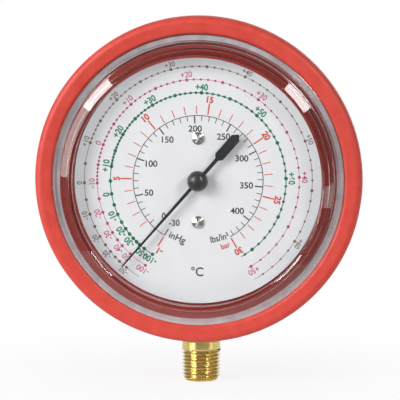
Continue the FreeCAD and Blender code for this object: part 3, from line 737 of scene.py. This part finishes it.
# Sawn steel in the slots, near white and barely metallic: a painted highlight standing in for light
# caught in the slot.
sawn_steel_painted_highlight = surface("sawn_steel_painted_highlight", "f2f1ee", "e4e2de", (0.5, 0.6), 3000, 0.1, Metallic=0.2)
stem_brass = turned_bar("stem_brass", "dfc884", "cbb36c", (0.12, 0.2))
movement_brass = surface(
    "movement_brass", "dcbf74", "c9a95c", (0.2, 0.34), 2600, 0.15, Metallic=1.0
)
tube_bronze = surface("tube_bronze", "b9793f", "a2632f", (0.25, 0.4), 2200, 0.15, Metallic=1.0)
pointer_black = surface(
    "pointer_black", "111112", "0c0c0d", (0.45, 0.6), 3000, 0.15, Specular_IOR_Level=0.3
)
hub_black = surface(
    "hub_black", "1f1f20", "19191a", (0.3, 0.38), 3000, 0.03, Coat_Weight=0.3, Coat_Roughness=0.15
)
black_ink = ink("black_ink", "3a3836", "2f2d2c")
red_ink = ink("red_ink", "dd4a2c", "d2422a")
green_ink = ink("green_ink", "0d8a63", "0a7f5b")
pink_ink = ink("pink_ink", "cf4a80", "c54378")
brown_ink = ink("brown_ink", "8d6f68", "82655f")
lens_plastic = clear_plastic("clear_plastic", 0.01, 1.0)
skirt_plastic = clear_plastic("moulded_skirt", 0.12, 0.36)
back_plastic = clear_plastic("moulded_foot", 0.01, 0.4)

dressing = {
    "case": (case_red, "red_case"),
    "case_screws": (zinc_steel, "zinc_steel"),
    "relief_plug": (black_rubber, "black_rubber"),
    "stem_grommet": (black_rubber, "black_rubber"),
    "restrictor_screw": (stem_brass, "stem_brass"),
    "lens_gasket": (pale_rubber, "pale_rubber"),
    "dial": (dial_enamel, "dial_white"),
    "dial_posts": (movement_brass, "movement_brass"),
    "front_plate": (movement_brass, "movement_brass"),
    "back_plate": (movement_brass, "movement_brass"),
    "plate_pillars": (movement_brass, "movement_brass"),
    "plate_screws": (polished_steel, "polished_steel"),
    "movement_screws": (polished_steel, "polished_steel"),
    "bourdon_tube": (tube_bronze, "tube_bronze"),
    "tube_end": (movement_brass, "movement_brass"),
    "tip_pin": (polished_steel, "polished_steel"),
    "link": (movement_brass, "movement_brass"),
    "link_screw": (polished_steel, "polished_steel"),
    "sector_gear": (movement_brass, "movement_brass"),
    "sector_bush": (movement_brass, "movement_brass"),
    "sector_arbor": (polished_steel, "polished_steel"),
    "pinion": (movement_brass, "movement_brass"),
    "pinion_arbor": (polished_steel, "polished_steel"),
    "hairspring": (tube_bronze, "tube_bronze"),
    "hairspring_collet": (movement_brass, "movement_brass"),
    "hairspring_stud": (movement_brass, "movement_brass"),
    "pointer": (pointer_black, "pointer_black"),
    "pointer_hub": (hub_black, "hub_black"),
}
for name, (finish, slot) in dressing.items():
    piece = nodes[name]
    cover(piece, finish)

pressure_scales()
temperature_scales()
threaded_socket()
bending_tube()
dial_screws()
moulded_lens()


# Studio

def from_front(across, away):
    """A direction that leans away from the dial's axis, towards an angle round the dial."""
    lean, turn = math.radians(away), math.radians(across)
    sideways = math.sin(lean)
    return Vector((sideways * math.cos(turn), -math.cos(lean), sideways * math.sin(turn)))


def softbox(name, across, away, around, outward, brightness):
    """A lit rectangle, measured round the dial's axis and outward; brightness 1 is white."""
    distance = 1.2
    data = bpy.data.lights.new(name, "AREA")
    data.shape = "RECTANGLE"
    data.size, data.size_y = around, outward
    data.energy = brightness * math.pi * around * outward
    lamp = bpy.data.objects.new(name, data)
    direction = from_front(across, away)
    sideways = direction.cross(Vector((0, -1, 0))).normalized()
    upward = direction.cross(sideways)
    lamp.location = dial_centre + direction * distance
    lamp.matrix_basis = Matrix((
        (sideways.x, upward.x, direction.x, lamp.location.x),
        (sideways.y, upward.y, direction.y, lamp.location.y),
        (sideways.z, upward.z, direction.z, lamp.location.z),
        (0, 0, 0, 1),
    ))
    bpy.context.scene.collection.objects.link(lamp)


def seen_rays(tree):
    """One for the rays that show what is behind: straight, mirrored or through clear plastic."""
    rays = tree.nodes.new("ShaderNodeLightPath").outputs
    either = calculated(tree, "MAXIMUM", rays["Is Camera Ray"], rays["Is Glossy Ray"])
    return calculated(tree, "MAXIMUM", either, rays["Is Transmission Ray"])


def make_world():
    """Even soft light; white to the camera, and to mirrors a dim room with a white back wall."""
    dim = 0.22
    world = bpy.data.worlds.new("studio")
    bpy.context.scene.world = world
    world.use_nodes = True
    tree = world.node_tree
    light = tree.nodes["Background"]
    light.inputs["Strength"].default_value = 0.31
    light.inputs["Color"].default_value = (1, 1, 1, 1)
    room = tree.nodes.new("ShaderNodeBackground")
    white = tree.nodes.new("ShaderNodeBackground")
    white.inputs["Color"].default_value = (1, 1, 1, 1)
    direction = tree.nodes.new("ShaderNodeTexCoord")
    parts = tree.nodes.new("ShaderNodeSeparateXYZ")
    tree.links.new(direction.outputs["Generated"], parts.inputs["Vector"])
    backward = from_range_to(tree, parts.outputs["Y"], (-1.0, 1.0), (0.0, 1.0))
    shade = shaded(tree, backward, 0.8, (dim, dim, dim, 1), 0.94, (1, 1, 1, 1), "EASE")
    tree.links.new(shade, room.inputs["Color"])
    path = tree.nodes.new("ShaderNodeLightPath")
    mirrored = mixed(tree, seen_rays(tree), light.outputs["Background"], room.outputs["Background"])
    straight = mixed(tree, path.outputs["Is Camera Ray"], mirrored, white.outputs["Background"])
    tree.links.new(straight, tree.nodes["World Output"].inputs["Surface"])


def make_floor():
    """A pale floor under the stem, which fades to the white backdrop away from the object."""
    size, front_edge = 8, -0.04
    fade_end, least = 0.1, 0.85  # all white from here on, and how white it is at the stem
    select_none()
    bpy.ops.mesh.primitive_plane_add(
        size=size, location=(0, size / 2 + front_edge, cad_box[0].z)
    )
    floor = bpy.context.object
    bpy.ops.object.transform_apply()
    floor.name = "floor"
    finish, tree, shader = new_finish("pale_floor", Base_Color=(0.86, 0.86, 0.86, 1), Roughness=0.9)
    place = tree.nodes.new("ShaderNodeTexCoord")
    length = tree.nodes.new("ShaderNodeVectorMath")
    length.operation = "LENGTH"
    tree.links.new(place.outputs["Object"], length.inputs[0])
    fade = from_range_to(
        tree, length.outputs["Value"], (0.0, fade_end), (least, 1.0), "SMOOTHSTEP"
    )
    white = tree.nodes.new("ShaderNodeEmission")
    whitened = calculated(tree, "MULTIPLY", fade, seen_rays(tree))
    mix = mixed(tree, whitened, shader.outputs["BSDF"], white.outputs["Emission"])
    tree.links.new(mix, tree.nodes["Material Output"].inputs["Surface"])
    floor.data.materials.append(finish)


def make_camera():
    """A long lens a little to the right of the dial and above it, framed for an image 400 pixels
    wide.
    """
    data = bpy.data.cameras.new("camera")
    camera = bpy.data.objects.new("camera", data)
    bpy.context.scene.collection.objects.link(camera)
    side, up = math.radians(4.0), math.radians(7.1)
    back = Vector((math.sin(side) * math.cos(up), -math.cos(side) * math.cos(up), math.sin(up)))
    turn = back.to_track_quat("Z", "Y")
    right, above = turn @ Vector((1, 0, 0)), turn @ Vector((0, 1, 0))
    image_width, sensor, distance = 400, 36, 0.9
    metres_per_pixel = 0.26353 * MM
    pixels_right, pixels_down = 1.0, 21.2  # from the rim's middle to the image's
    rim_middle = Vector((0, -8.5 * MM, dial_centre.z))
    aim = rim_middle + right * pixels_right * metres_per_pixel
    aim = aim - above * pixels_down * metres_per_pixel
    camera.location = aim + back * distance
    camera.rotation_mode = "QUATERNION"
    camera.rotation_quaternion = turn
    data.sensor_width = sensor
    data.lens = sensor * distance / (image_width * metres_per_pixel)
    bpy.context.scene.camera = camera


make_camera()
make_floor()
make_world()
softbox("left_box", 147, 53.5, 0.3, 0.46, 18)
softbox("left_wall", 169, 64, 0.64, 0.2, 6)
softbox("left_sheet", 178, 45, 0.5, 0.42, 5)
softbox("right_box", 37.5, 53.3, 0.28, 0.28, 18)
softbox("right_sheet", -8, 66, 0.4, 0.24, 3)
bpy.context.scene.view_settings.view_transform = "Standard"
